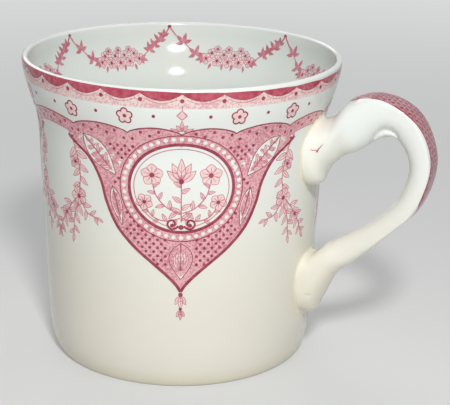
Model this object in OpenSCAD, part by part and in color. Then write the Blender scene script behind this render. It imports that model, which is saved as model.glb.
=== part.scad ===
// Straight-sided espresso cup with a flared lip and one applied loop handle.
// The origin is the middle of the foot ring on the table, +Z is up and the handle points along +X.

/* [Body] */
// Outside diameter of the cup at its lip
rim_d = 64; // [58:0.5:72]
// Height of the cup from the table to the top of its lip
body_h = 61.5; // [57:0.5:75]
// Outside diameter where the wall leaves its rounded base
base_d = 55; // [51:0.5:57]
// Outside diameter where the wall starts to flare
neck_d = 57.7; // [55:0.1:62]
// Height of the flared part, from the neck to the top of the lip
flare_h = 15.5; // [11:0.5:20]
// How far the wall runs straight on into the flare
neck_run = 7; // [3:0.5:9]
// How far the lip stands up straight out of the flare
lip_run = 7; // [3:0.5:9]
// Slant of the lip from upright, in degrees
lip_slant = 4; // [0:0.5:10]
// Thickness of the wall
wall_t = 2.8; // [2:0.1:4]
// Thickness of the lip, which is rounded over
lip_t = 2; // [1.4:0.1:2.8]
// Thickness of the floor
floor_t = 3.2; // [2:0.1:6]
// Radius of the inside corner between the floor and the wall
floor_fillet = 5; // [2:0.5:9]

/* [Foot] */
// Outside diameter of the ring that the cup stands on
foot_d = 50; // [44:0.5:52]
// Width of the ring that the cup stands on
foot_w = 2.6; // [1.6:0.1:5]
// Depth of the recess inside the ring
recess_h = 1.4; // [0.6:0.1:2.6]
// Width of the bevel that leads into the recess
recess_bevel = 1; // [0.4:0.1:2.5]
// Height over which the base rounds out from the foot to the wall
base_round_h = 10; // [8:0.5:12]
// How far the wall runs straight down into the rounded base
base_run = 6; // [3:0.5:7]
// How far the underside runs level out of the foot ring
foot_run = 1.4; // [0.4:0.1:2.4]

/* [Handle roots] */
// Depth of the middle of the upper root below the top of the lip
pad_drop = 16.7; // [15:0.1:20]
// Height of the upper root on the wall
pad_h = 13; // [11:0.1:14.5]
// Width of the upper root across the wall
pad_w = 13.4; // [11:0.1:15]
// How far the upper root stands out before the arm leaves it
pad_out = 3.8; // [2.8:0.1:4.8]
// How far the arm has risen where it leaves the upper root
pad_rise = 2.5; // [1.5:0.1:3.5]
// Height of the middle of the lower root above the table
heel_z = 17.1; // [15:0.1:20]
// Height of the lower root on the wall
heel_h = 12.6; // [11:0.1:14.5]
// Width of the lower root across the wall
heel_w = 10.6; // [9:0.1:12.5]
// How far the lower root stands out before the arm leaves it
heel_out = 2.8; // [2.4:0.1:3.6]
// How far the arm has risen where it leaves the lower root
heel_rise = 1.8; // [1.2:0.1:2.6]
// How far the arm stands out where it turns up out of the lower root
turn_out = 5.6; // [5:0.1:6.4]
// How far the arm has risen where it turns up out of the lower root
turn_rise = 6; // [5.2:0.1:6.8]

/* [Handle loop] */
// Clear width from the wall to the inside of the loop
finger_w = 19.1; // [17:0.1:24]
// Distance of the knuckle's middle from the wall
knuckle_out = 7.4; // [6.6:0.1:9]
// Height of the knuckle's middle above that of the upper root
knuckle_rise = 5.9; // [4.9:0.1:6.7]
// Distance of the crown's middle from the wall
crown_out = 13.2; // [12:0.1:14.5]
// Height of the crown's middle above that of the upper root
crown_rise = 8.2; // [7:0.1:9]
// Distance of the shoulder's middle inside the loop's outermost section
shoulder_in = 3; // [2.2:0.1:4]
// Height of the shoulder's middle above that of the upper root
shoulder_rise = 6.5; // [5.5:0.1:7.5]
// Depth of the loop's outermost section below the middle of the upper root
bight_drop = 0.2; // [-1.5:0.1:2]
// Distance of the lower bend's middle inside the loop's outermost section
bend_in = 1.95; // [1:0.05:3]
// Height of the lower bend's middle above that of the lower root
bend_rise = 19.7; // [17.5:0.1:21]
// Distance of the lower arm's middle from the wall
arm_out = 15.1; // [14:0.1:16.5]
// Height of the lower arm's middle above that of the lower root
arm_rise = 13.5; // [12:0.1:14.5]
// Distance of the elbow's middle from the wall
elbow_out = 8.8; // [8:0.1:10]
// Height of the elbow's middle above that of the lower root
elbow_rise = 8.2; // [7.4:0.1:9]

/* [Handle section] */
// Thickness of the arm as it leaves the upper root
pad_neck_t = 10; // [9:0.1:11.5]
// Width of the arm as it leaves the upper root
pad_neck_w = 10.4; // [9:0.1:12.5]
// Thickness of the knuckle
knuckle_t = 10.5; // [9.5:0.1:12]
// Width of the knuckle
knuckle_w = 9.2; // [7.5:0.1:11]
// Thickness of the crown
crown_t = 8.5; // [7.5:0.1:9.5]
// Width of the crown
crown_w = 7.6; // [6.5:0.1:9]
// Thickness of the shoulder
shoulder_t = 6.2; // [5.2:0.1:7.2]
// Thickness of the loop at its outermost section
loop_t = 4.9; // [4:0.1:6]
// Width of the strap round the loop
strap_w = 7.1; // [6:0.1:9]
// Thickness of the lower bend
bend_t = 4.5; // [3.6:0.1:5.5]
// Thickness of the lower arm
arm_t = 4.1; // [3.4:0.1:5]
// Width of the lower arm
arm_w = 6.6; // [5.5:0.1:8]
// Thickness of the elbow above the lower root
elbow_t = 5.5; // [4.7:0.1:6.3]
// Thickness of the arm where it turns up
turn_t = 6.7; // [6:0.1:8]
// Width of the arm where it turns up
turn_w = 8.1; // [7:0.1:9.2]
// Thickness of the arm as it leaves the lower root
heel_neck_t = 10.2; // [9.2:0.1:11.5]
// Width of the arm as it leaves the lower root
heel_neck_w = 9.7; // [8:0.1:11]
// How square the upper half of the lower root is: 0 leaves it oval
heel_square = 0.7; // [0:0.1:1]

/* [Slip joints] */
// Thickness of the layer of slip that holds each root on the wall
slip_t = 0.4; // [0.2:0.05:0.8]
// How far the slip is squeezed out round each root
slip_bead = 0.5; // [0.2:0.1:1]

/* [Hidden] */
$fn = 96;
glaze_ivory = "#f1ede3";
slip_ivory = "#e6dec9";

// Number of straight steps in a curve of the profile, and in a quarter of a small arc
curve_steps = 12;
arc_steps = 6;
// Number of points round a section of the handle, and of rings from one station to the next
section_points = 20;
ring_steps = 4;
// Number of points round the oval of a slip joint
oval_points = 48;

rim_r = rim_d / 2;
base_r = base_d / 2;
neck_r = neck_d / 2;
foot_r = foot_d / 2;
lip_r = lip_t / 2;
lip_z = body_h - lip_r;
neck_z = body_h - flare_h;
floor_z = recess_h + floor_t;
taper = (neck_r - base_r) / (neck_z - base_round_h);
pad_z = body_h - pad_drop;

// Outside radius of the straight part of the wall at a height
function wall_r(z) = base_r + taper * (z - base_round_h);

// Point on a cubic curve from a to d, drawn towards b and c
function cubic(a, b, c, d, s) =
    a * pow(1 - s, 3) + 3 * b * s * pow(1 - s, 2) + 3 * c * s * s * (1 - s) + d * pow(s, 3);
function curve(a, b, c, d) = [for (i = [0 : curve_steps]) cubic(a, b, c, d, i / curve_steps)];
function arc(middle, r, from, to, steps) =
    [for (i = [0 : steps]) let (a = from + (to - from) * i / steps) middle + r * [cos(a), sin(a)]];

// The flare from the neck to the lip, moved in by a thickness at each end
function flare(neck_in, lip_in) = let (
        lip_lean = tan(lip_slant) * lip_run,
        neck = [neck_r - neck_in, neck_z],
        lip = [rim_r - lip_in, lip_z]
    )
    curve(neck, neck + [taper * neck_run, neck_run], lip - [lip_lean, lip_run], lip);

// The outside from the foot to the lip, grown outwards
function outside(grow) = let (
        foot = [foot_r, 0],
        wall = [base_r, base_round_h],
        base = curve(foot, foot + [foot_run, 0], wall - [taper * base_run, base_run], wall)
    )
    [for (p = concat(base, flare(0, 0))) p + [grow, 0]];

// The inside from the lip down to the middle of the floor
function inside() = let (
        down = flare(wall_t, lip_t),
        fillet_z = floor_z + floor_fillet,
        fillet_middle = [wall_r(fillet_z) - wall_t - floor_fillet, fillet_z]
    )
    concat(
        [for (i = [curve_steps : -1 : 0]) down[i]],
        arc(fillet_middle, floor_fillet, 0, -90, arc_steps),
        [[0, floor_z]]
    );

function underside() = let (ring_r = foot_r - foot_w)
    [[0, recess_h], [ring_r - recess_bevel, recess_h], [ring_r, 0]];

// The space inside the outer face of the wall, as a solid
module wall_core(grow) {
    rotate_extrude()
        polygon(concat([[0, 0]], outside(grow), [[0, lip_z]]));
}

module cup_body() {
    color(glaze_ivory)
        rotate_extrude()
            polygon(concat(
                underside(),
                outside(0),
                arc([rim_r - lip_r, lip_z], lip_r, 0, 180, 2 * arc_steps),
                inside()
            ));
}

// Stations along the handle, from inside the wall at the upper root to inside the wall at the lower.
// Each is its place [x, z] and its size [thickness, width, how flat the back is, how square the
// inner side is], the last two from 0 to 1.
root_sink = 3.5;
root_proud = 1;
half_flat = 0.4;
upper_r = wall_r(pad_z);
lower_r = wall_r(heel_z);
loop_x = upper_r + finger_w + loop_t / 2;
places = [
    [upper_r - root_sink, pad_z],
    [upper_r + root_proud, pad_z],
    [upper_r + pad_out, pad_z + pad_rise],
    [upper_r + knuckle_out, pad_z + knuckle_rise],
    [upper_r + crown_out, pad_z + crown_rise],
    [loop_x - shoulder_in, pad_z + shoulder_rise],
    [loop_x, pad_z - bight_drop],
    [loop_x - bend_in, heel_z + bend_rise],
    [lower_r + arm_out, heel_z + arm_rise],
    [lower_r + elbow_out, heel_z + elbow_rise],
    [lower_r + turn_out, heel_z + turn_rise],
    [lower_r + heel_out, heel_z + heel_rise],
    [lower_r + root_proud, heel_z],
    [lower_r - root_sink, heel_z]
];
sizes = [
    [pad_h, pad_w, 0, 0],
    [pad_h, pad_w, 0, 0],
    [pad_neck_t, pad_neck_w, 0, 0],
    [knuckle_t, knuckle_w, half_flat, 0],
    [crown_t, crown_w, 1, 0],
    [shoulder_t, strap_w, 1, 0],
    [loop_t, strap_w, 1, 0],
    [bend_t, strap_w, 1, 0],
    [arm_t, arm_w, 1, 0],
    [elbow_t, arm_w, half_flat, 0],
    [turn_t, turn_w, 0, heel_square / 2],
    [heel_neck_t, heel_neck_w, 0, heel_square],
    [heel_h, heel_w, 0, heel_square],
    [heel_h, heel_w, 0, heel_square]
];

// Direction in which the back of the handle faces at a station, in degrees up from +X.
// It is square to the loop and upright at the roots, and swings over from one to the other between.
last = len(places) - 1;
knuckle_at = 3;
elbow_at = last - 4;
function across(i) = let (d = places[i + 1] - places[i - 1]) atan2(d[0], -d[1]);
function halfway(a, b) = (a + b) / 2;
turn_lean = halfway(across(elbow_at), -90);
leans = concat(
    [90, 90, 90, halfway(90, across(knuckle_at + 1))],
    [for (i = [knuckle_at + 1 : elbow_at]) across(i)],
    [turn_lean, halfway(turn_lean, -90), -90, -90]
);

// A smooth run through a list of values, with the ends carried straight on
function at(list, i) = i < 0 ? 2 * list[0] - list[1] :
    i > last ? 2 * list[last] - list[last - 1] : list[i];
function smooth(a, b, c, d, s) = b + s * (c - a) / 2
    + s * s * (2 * a - 5 * b + 4 * c - d) / 2
    + pow(s, 3) * (3 * b - a - 3 * c + d) / 2;
function along(list, i, s) = smooth(at(list, i - 1), at(list, i), at(list, i + 1), at(list, i + 2), s);

// Section of the handle as [towards the back, across]. A flat back squares the outer half of an
// oval and moves its widest place towards the back, and a square inner side squares the other half.
back_square = 0.62;
side_square = 0.45;
widest_shift = 0.42;
function squared(v, square) = sign(v) * pow(abs(v), 1 - square);
function section(points, thickness, width, flat, square) = [for (k = [0 : points - 1]) let (
        a = 360 * k / points,
        corner = sin(a) > 0 ? flat : square,
        shift = widest_shift * flat,
        back = squared(sin(a), back_square * corner)
    )
    [
        (shift + back * (back > 0 ? 1 - shift : 1 + shift)) * thickness / 2,
        squared(cos(a), side_square * corner) * width / 2
    ]];
function share(v) = min(1, max(0, v));

function ring(i, s) = let (
        place = along(places, i, s),
        lean = along(leans, i, s),
        size = along(sizes, i, s)
    )
    [for (p = section(section_points, size[0], size[1], share(size[2]), share(size[3])))
        [place[0] + p[0] * cos(lean), p[1], place[1] + p[0] * sin(lean)]];

// Closed solid through a list of rings that have equally many points
module loft(rings) {
    n = len(rings[0]);
    end = len(rings) - 1;
    sides = [for (j = [0 : end - 1], k = [0 : n - 1])
        let (a = j * n + k, b = j * n + (k + 1) % n)
        each [[a, a + n, b], [b, a + n, b + n]]];
    caps = [[for (k = [0 : n - 1]) k], [for (k = [n - 1 : -1 : 0]) end * n + k]];
    polyhedron([for (r = rings) each r], concat(sides, caps));
}

handle_rings = [for (i = [0 : last - 1], j = [0 : ring_steps - 1]) ring(i, j / ring_steps)];

module handle() {
    color(glaze_ivory)
        difference() {
            loft(concat(handle_rings, [ring(last - 1, 1)]));
            wall_core(slip_t);
        }
}

// Layer of slip on the wall under a root that is height by width, with its middle at z
module slip_joint(z, height, width, square) {
    bead = 2 * slip_bead;
    oval = [for (p = section(oval_points, height + bead, width + bead, 0, square)) [p[1], -p[0]]];
    color(slip_ivory)
        intersection() {
            difference() {
                wall_core(slip_t);
                wall_core(0);
            }
            translate([0, 0, z])
                rotate([90, 0, 90])
                    linear_extrude(rim_d)
                        polygon(oval);
        }
}

module upper_slip_joint() {
    slip_joint(pad_z, pad_h, pad_w, 0);
}

module lower_slip_joint() {
    slip_joint(heel_z, heel_h, heel_w, heel_square);
}

cup_body();
handle();
upper_slip_joint();
lower_slip_joint();
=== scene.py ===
"""Looks of a straight-sided espresso cup: ivory glaze on earthenware, printed in red under the glaze.

Sizes are in millimetres, angles in degrees and meshes in metres. The cup stands on z = 0, its axis is Z
and its handle points along +X.
"""
import bisect
from math import acos, atan2, copysign, cos, degrees, exp, hypot, pi, radians, sin, tan

import bmesh
import bpy
from mathutils import Matrix, Vector


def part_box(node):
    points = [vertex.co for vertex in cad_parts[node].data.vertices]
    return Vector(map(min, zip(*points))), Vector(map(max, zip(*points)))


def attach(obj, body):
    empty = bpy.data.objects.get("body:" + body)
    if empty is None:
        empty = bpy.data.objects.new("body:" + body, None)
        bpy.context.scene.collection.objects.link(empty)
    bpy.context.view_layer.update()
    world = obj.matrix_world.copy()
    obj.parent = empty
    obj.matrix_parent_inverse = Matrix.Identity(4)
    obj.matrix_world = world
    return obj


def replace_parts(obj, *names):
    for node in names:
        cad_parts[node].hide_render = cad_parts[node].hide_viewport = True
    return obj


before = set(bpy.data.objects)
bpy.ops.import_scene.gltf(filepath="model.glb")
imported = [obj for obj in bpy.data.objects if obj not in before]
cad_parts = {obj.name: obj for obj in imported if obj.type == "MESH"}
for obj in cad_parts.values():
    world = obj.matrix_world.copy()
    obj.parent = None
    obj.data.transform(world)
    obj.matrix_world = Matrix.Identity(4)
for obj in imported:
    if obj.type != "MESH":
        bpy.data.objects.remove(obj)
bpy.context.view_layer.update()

MM = 0.001

# Body, as its solid is built, but for the lip, which was sponged to a thinner edge
cup_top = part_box("cup_body")[1]
BODY_H = round(cup_top.z / MM, 1)
RIM_R = round(cup_top.y / MM, 1)
BASE_R = 27.5
NECK_R = 28.85
FLARE_H = 15.5
LIP_SLANT = 4
WALL_T = 2.8
LIP_T = 1.2
FLOOR_T = 3.2
FLOOR_FILLET = 5
FOOT_R = 25
FOOT_W = 2.6
RECESS_H = 1.4
RECESS_BEVEL = 1
BASE_ROUND_H = 10
EDGE_SOFT = 0.35
LIP_R = LIP_T / 2
LIP_Z = BODY_H - LIP_R
NECK_Z = BODY_H - FLARE_H
FLOOR_Z = RECESS_H + FLOOR_T
TAPER = (NECK_R - BASE_R) / (NECK_Z - BASE_ROUND_H)
# How far each end of a curved stretch pulls it along the end's own slope
NECK_RUN = 7
LIP_RUN = 7
BASE_RUN = 6
FOOT_RUN = 1.4
# Steps of the mesh along the outline, and round the axis
BASE_STEPS = 28
WALL_STEPS = 30
FLARE_STEPS = 32
LIP_STEPS = 12
INSIDE_STEPS = 28
CORNER_STEPS = 16
EDGE_STEPS = 5
FLAT_RINGS = 6
TURNED_STEPS = 288


def shares(steps):
    """Even shares from 0 to 1."""
    return [i / steps for i in range(steps + 1)]


def turned(x, y, r, a):
    """Place at a distance and an angle from another."""
    a = radians(a)
    return Vector((x + r * cos(a), y + r * sin(a)))


def cubic(a, b, c, d, steps):
    """Points on a cubic curve from a to d, drawn towards b and c."""
    return [a * (1 - s) ** 3 + 3 * b * s * (1 - s) ** 2 + 3 * c * s * s * (1 - s) + d * s ** 3
            for s in shares(steps)]


def bent(a, corner, b, steps):
    """Points on a curve from a to b, drawn towards a corner."""
    return [a.lerp(corner, s).lerp(corner.lerp(b, s), s) for s in shares(steps)]


def arc(middle, r, start, end, steps):
    """Points on an arc of a circle."""
    return [turned(*middle, r, start + (end - start) * s) for s in shares(steps)]


def straight(a, b, steps):
    """Points on a straight line after a, up to b."""
    return [a.lerp(b, s) for s in shares(steps)[1:]]


def softened(points, r):
    """A broken line with its inner corners rounded."""
    points = [Vector(p) for p in points]
    out = [points[0]]
    for before, corner, after in zip(points, points[1:], points[2:]):
        a = corner + (before - corner).normalized() * r
        b = corner + (after - corner).normalized() * r
        out += bent(a, corner, b, EDGE_STEPS)
    return out + [points[-1]]


def flare(neck_in, lip_in):
    """The flare from neck to lip, moved in by a thickness at each end."""
    neck = Vector((NECK_R - neck_in, NECK_Z))
    lip = Vector((RIM_R - lip_in, LIP_Z))
    from_neck = neck + Vector((TAPER, 1)) * NECK_RUN
    to_lip = lip - Vector((tan(radians(LIP_SLANT)), 1)) * LIP_RUN
    return cubic(neck, from_neck, to_lip, lip, FLARE_STEPS)


def straight_wall(z):
    """Outside radius of the straight wall at a height."""
    return BASE_R + TAPER * (z - BASE_ROUND_H)


def outside_profile():
    """Radius and height up the outside, from foot ring to lip."""
    foot, wall = Vector((FOOT_R, 0)), Vector((BASE_R, BASE_ROUND_H))
    from_foot, to_wall = foot + Vector((FOOT_RUN, 0)), wall - Vector((TAPER, 1)) * BASE_RUN
    base = cubic(foot, from_foot, to_wall, wall, BASE_STEPS)
    up = flare(0, 0)
    over = arc((RIM_R - LIP_R, LIP_Z), LIP_R, 0, 90, LIP_STEPS)
    return base + straight(wall, up[0], WALL_STEPS) + up[1:] + over[1:]


def inside_profile():
    """Radius and height up the inside, from floor to lip."""
    fillet_z = FLOOR_Z + FLOOR_FILLET
    middle = Vector((straight_wall(fillet_z) - WALL_T - FLOOR_FILLET, fillet_z))
    corner = arc(middle, FLOOR_FILLET, -90, 0, CORNER_STEPS)
    up = flare(WALL_T, LIP_T)
    over = arc((RIM_R - LIP_R, LIP_Z), LIP_R, 180, 90, LIP_STEPS)
    return corner + straight(corner[-1], up[0], INSIDE_STEPS) + up[1:] + over[1:]


OUTSIDE = outside_profile()
INSIDE = inside_profile()


def wall_surface(profile, side):
    """Maps an angle, a height and a lift off the wall to a place. side is 1 outside and -1 inside."""
    heights = [p.y for p in profile]

    def place(angle, z, lift):
        i = min(max(bisect.bisect(heights, z), 1), len(heights) - 1)
        low, high = profile[i - 1], profile[i]
        slope = (high.x - low.x) / (high.y - low.y)
        out = side * lift / hypot(1, slope)
        r = low.x + slope * (z - low.y) + out
        a = radians(angle)
        return Vector((r * cos(a), r * sin(a), z - slope * out)) * MM

    return place


on_outside = wall_surface(OUTSIDE, 1)
on_inside = wall_surface(INSIDE, -1)


def outside_r(z):
    """Outside radius of the cup at a height."""
    return on_outside(0, z, 0).x / MM


# Handle, as its solid is built: a loft through stations from root to root
PAD_Z = BODY_H - 16.7
HEEL_Z = 17.1
UPPER_R = straight_wall(PAD_Z)
LOWER_R = straight_wall(HEEL_Z)
FINGER_W = 19.1
LOOP_T = 4.9
LOOP_X = UPPER_R + FINGER_W + LOOP_T / 2
STRAP_W = 7.1
ARM_W = 6.6
ROOT_SINK = 3.5
ROOT_PROUD = 1
HEEL_SQUARE = 0.7
# Each section: thickness, width, how flat the back is and how square the inner side is
PAD_SECTION = (13, 13.4, 0, 0)
HEEL_SECTION = (12.6, 10.6, 0, HEEL_SQUARE)
# Each station: out from the axis, height, and the section there
STATIONS = [
    (UPPER_R - ROOT_SINK, PAD_Z, *PAD_SECTION),
    (UPPER_R + ROOT_PROUD, PAD_Z, *PAD_SECTION),
    (UPPER_R + 3.8, PAD_Z + 2.5, 10, 10.4, 0, 0),
    (UPPER_R + 7.4, PAD_Z + 5.9, 10.5, 9.2, 0.4, 0),
    (UPPER_R + 13.2, PAD_Z + 8.2, 8.5, 7.6, 1, 0),
    (LOOP_X - 3, PAD_Z + 6.5, 6.2, STRAP_W, 1, 0),
    (LOOP_X, PAD_Z - 0.2, LOOP_T, STRAP_W, 1, 0),
    (LOOP_X - 1.95, HEEL_Z + 19.7, 4.5, STRAP_W, 1, 0),
    (LOWER_R + 15.1, HEEL_Z + 13.5, 4.1, ARM_W, 1, 0),
    (LOWER_R + 8.8, HEEL_Z + 8.2, 5.5, ARM_W, 0.4, 0),
    (LOWER_R + 5.6, HEEL_Z + 6, 6.7, 8.1, 0, HEEL_SQUARE / 2),
    (LOWER_R + 2.8, HEEL_Z + 1.8, 10.2, 9.7, 0, HEEL_SQUARE),
    (LOWER_R + ROOT_PROUD, HEEL_Z, *HEEL_SECTION),
    (LOWER_R - ROOT_SINK, HEEL_Z, *HEEL_SECTION),
]
LAST = len(STATIONS) - 1
PAD_NECK, KNUCKLE = 2, 3
ELBOW, HEEL_NECK = LAST - 4, LAST - 2
# For each root, the station inside the wall, the first one free of it, and the height
ROOTS = {"upper": (0, PAD_NECK, PAD_Z), "lower": (LAST, HEEL_NECK, HEEL_Z)}
BACK_SQUARE = 0.62
SIDE_SQUARE = 0.45
WIDEST_SHIFT = 0.42
BACK_TURN = 90
QUARTER_STEPS = 48
STATION_STEPS = 20
ROOT_STEPS = 24


def across(i):
    """Direction square to the handle at a station, in degrees up from +X."""
    before, after = STATIONS[i - 1], STATIONS[i + 1]
    return degrees(atan2(after[0] - before[0], before[1] - after[1]))


def leans():
    """Way that the handle's back faces: square to the loop, upright at the roots."""
    turn = (across(ELBOW) - 90) / 2
    loop = [across(i) for i in range(KNUCKLE + 1, ELBOW + 1)]
    return [90, 90, 90, (90 + loop[0]) / 2, *loop, turn, (turn - 90) / 2, -90, -90]


LOFT = [Vector((*station, lean)) for station, lean in zip(STATIONS, leans())]
LOFT = [2 * LOFT[0] - LOFT[1], *LOFT, 2 * LOFT[-1] - LOFT[-2]]


def smooth_run(run, t):
    """Point at t on a smooth run through a list, whose two end entries only steer it."""
    i = min(max(int(t), 0), len(run) - 4)
    s = t - i
    a, b, c, d = run[i:i + 4]
    slope = (c - a) * (s / 2)
    bend = (2 * a - 5 * b + 4 * c - d) * (s * s / 2)
    return b + slope + bend + (3 * b - a - 3 * c + d) * (s ** 3 / 2)


def squared(value, square):
    """A value from -1 to 1 pushed towards its ends."""
    return copysign(abs(value) ** (1 - square), value)


def handle_skin(station, turn):
    """Place on the cast handle in millimetres, by station and degrees round the section."""
    x, z, thick, wide, flat, square, lean = smooth_run(LOFT, station)
    flat, square = min(1, max(0, flat)), min(1, max(0, square))
    a = radians(turn)
    corner = flat if sin(a) > 1e-9 else square
    shift = WIDEST_SHIFT * flat
    back = squared(sin(a), BACK_SQUARE * corner)
    out = (shift + back * (1 - shift if back > 0 else 1 + shift)) * thick / 2
    side = squared(cos(a), SIDE_SQUARE * corner) * wide / 2
    lean = radians(lean)
    return Vector((x + out * cos(lean), side, z + out * sin(lean)))


# Creases, the mould's under the crown and a tool's on the lower root: path, depth, and reach up the flank
# and down it. A path is stations and degrees.
CREASES = [
    ([(3.55, 268), (3.75, 247), (4, 233), (4.25, 227), (4.45, 226), (4.75, 231), (5.05, 241)], 0.8, 19, 4),
    ([(11.1, 150), (11.35, 156), (11.6, 163), (11.95, 169)], 0.14, 2.6, 2.6),
]
# Sponged swells and hollows: station and degrees of the middle, reach each way, lift
SPONGED = [
    (3.2, 262, 0.34, 42, 0.45),
    (2.55, 205, 0.24, 34, -0.4),
    (3.15, 224, 0.3, 22, 0.3),
    (9.7, 262, 0.35, 50, -0.3),
    (10.1, 228, 0.5, 26, -0.22),
    (10.6, 270, 0.6, 40, -0.2),
    (11.55, 96, 0.4, 48, 0.42),
]
# The same, from fingers that pressed one side of the upper root
PRESSED = [
    (1.05, 220, 0.5, 30, 0.8),
    (0.9, 270, 0.4, 28, -0.7),
    (1.38, 245, 0.3, 28, 0.75),
]


def bell(value, reach):
    """Falls from 1 at 0 to nearly 0 at twice the reach."""
    return exp(-(value / reach) ** 2)


def crease_depth(station, flank, path, depth, up, down):
    """How deep a crease cuts in at a place on a flank."""
    start, end = path[0][0], path[-1][0]
    if not start < station < end:
        return 0
    i = bisect.bisect([at for at, _ in path], station)
    (a, low), (b, high) = path[i - 1], path[i]
    aside = flank - low - (high - low) * (station - a) / (b - a)
    fade = sin(pi * (station - start) / (end - start)) ** 0.6
    return depth * fade * bell(aside, up if aside < 0 else down)


def finish_lift(station, turn):
    """How far the finished skin stands off the cast form. Only the pressed root is one-sided."""
    flank = BACK_TURN + abs((turn - BACK_TURN + 180) % 360 - 180)
    lift = -sum(crease_depth(station, flank, *crease) for crease in CREASES)
    for marks, place_round in ((SPONGED, flank), (PRESSED, turn)):
        for at, middle, reach, reach_round, height in marks:
            lift += height * bell(station - at, reach) * bell(place_round - middle, reach_round)
    return lift


def on_handle(station, turn, lift):
    """Place on the finished handle in metres, lifted off its skin."""
    step = 0.02
    along = handle_skin(station + step, turn) - handle_skin(station - step, turn)
    round_it = handle_skin(station, turn + 1) - handle_skin(station, turn - 1)
    out = round_it.cross(along).normalized()
    return (handle_skin(station, turn) + out * (lift + finish_lift(station, turn))) * MM


def section_turns():
    """Degrees round a section, closer together where its skin bends."""
    eased = [3 * s ** 2 - 2 * s ** 3 for s in shares(QUARTER_STEPS)[:-1]]
    return [90 * (quarter + s) for quarter in range(4) for s in eased]


def junction(turn, inside, free, sunk=0):
    """Station where the skin meets the wall, between one inside it and one free of it."""
    halvings = 40
    for _ in range(halvings):
        middle = (inside + free) / 2
        p = on_handle(middle, turn, 0) / MM
        if hypot(p.x, p.y) < outside_r(p.z) - sunk:
            inside = middle
        else:
            free = middle
    return (inside + free) / 2


# Colours and materials
def linear(hex_colour):
    """An sRGB hex colour as linear red, green, blue and alpha."""
    parts = [int(hex_colour[i:i + 2], 16) / 255 for i in (1, 3, 5)]
    return [c / 12.92 if c <= 0.04045 else ((c + 0.055) / 1.055) ** 2.4 for c in parts] + [1]


def add(tree, kind, inputs=None, **settings):
    """Adds a node. An input takes a value, an output, or a node, for its first output in use."""
    node = tree.nodes.new("ShaderNode" + kind)
    for name, value in settings.items():
        setattr(node, name, value)
    for name, value in (inputs or {}).items():
        if isinstance(value, bpy.types.Node):
            value = next(output for output in value.outputs if output.enabled)
        if isinstance(value, bpy.types.NodeSocket):
            tree.links.new(value, node.inputs[name])
        else:
            node.inputs[name].default_value = value
    return node


# Inputs of a colour mix
SHARE, FIRST, SECOND = 0, 6, 7
COLOURS = {"data_type": "RGBA"}
EASED = {"interpolation_type": "SMOOTHSTEP"}
IVORY = "#E7ECE8"
CREAM = "#E7E3D5"
# Painted shade: a cooler, darker tone for the inside of the cup below the lip
INSIDE_PAINTED_SHADE = "#DBE1DC"
THICK_GLAZE = "#E1E0D5"
FOOT_TINT = "#DAD2B8"
ROOT_TINT = "#E3DCC4"
SPECK_BROWN = "#8A7458"
# Heights between which ivory turns to cream outside, to a cooler, darker painted shade inside, and to the
# foot's tint
CREAM_FALL = (54, 16)
INSIDE_SHADE_FALL = (BODY_H - 0.1, BODY_H - 3)
FOOT_FALL = (5, 0.5)
# Middle of each root, reach of the warmer tone round it, and width of that tone's soft edge
ROOT_REACH = (((UPPER_R, 0, PAD_Z), 11), ((LOWER_R, 0, HEEL_Z), 10))
ROOT_FADE = 4
GLAZE_IOR = 1.5
GLAZE_ROUGH = 0.1
# Width and height of the glaze's long swells and of its fine peel
GLAZE_SWELLS = ((9, 0.02), (1.4, 0.0015))
# One cell in five, of this size, holds a speck with a soft edge between these radii
SPECK_CELL = 5
SPECK_EDGE = (0.225, 0.125)
# About twice as coarse as engraved stipple, so that it shows
STIPPLE_PITCH = 0.45


def per_mm(size):
    """Texture scale at which one repeat is that many millimetres."""
    return 1 / (size * MM)


def new_material(name):
    """A material, its empty node tree, and each point's place in the part."""
    material = bpy.data.materials.new(name)
    material.use_nodes = True
    tree = material.node_tree
    tree.nodes.clear()
    return material, tree, add(tree, "TexCoord").outputs["Object"]


def turning(tree, value, low, high, colour, second, most=1):
    """A colour that turns to another as a value goes from low to high."""
    ramp = {"Value": value, "From Min": low, "From Max": high, "To Max": most}
    share = add(tree, "MapRange", ramp, **EASED)
    return add(tree, "Mix", {SHARE: share, FIRST: colour, SECOND: linear(second)}, **COLOURS)


def clouded(tree, place, colour, second, size, low, high, most=1, detail=3):
    """A colour that turns to another in soft patches of that size."""
    cloud = add(tree, "TexNoise", {"Vector": place, "Scale": per_mm(size), "Detail": detail})
    return turning(tree, cloud, low, high, colour, second, most)


def by_height(tree, place, start, end, colour, second, most=1):
    """A colour that turns to another between two heights."""
    height = add(tree, "SeparateXYZ", {"Vector": place}).outputs["Z"]
    return turning(tree, height, start * MM, end * MM, colour, second, most)


def cover_with_glaze(tree, place, colour, rough=GLAZE_ROUGH):
    """Ends a material as that colour under clear glaze, which melted uneven and so bends reflections."""
    surface = {}
    for width, height in GLAZE_SWELLS:
        swell = add(tree, "TexNoise", {"Vector": place, "Scale": per_mm(width)})
        uneven = {"Height": swell, "Distance": height * MM, "Strength": 0.6}
        surface = {"Normal": add(tree, "Bump", {**uneven, **surface})}
    look = {"Base Color": colour, "Roughness": rough, "IOR": GLAZE_IOR, **surface}
    add(tree, "OutputMaterial", {"Surface": add(tree, "BsdfPrincipled", look)})


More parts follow.
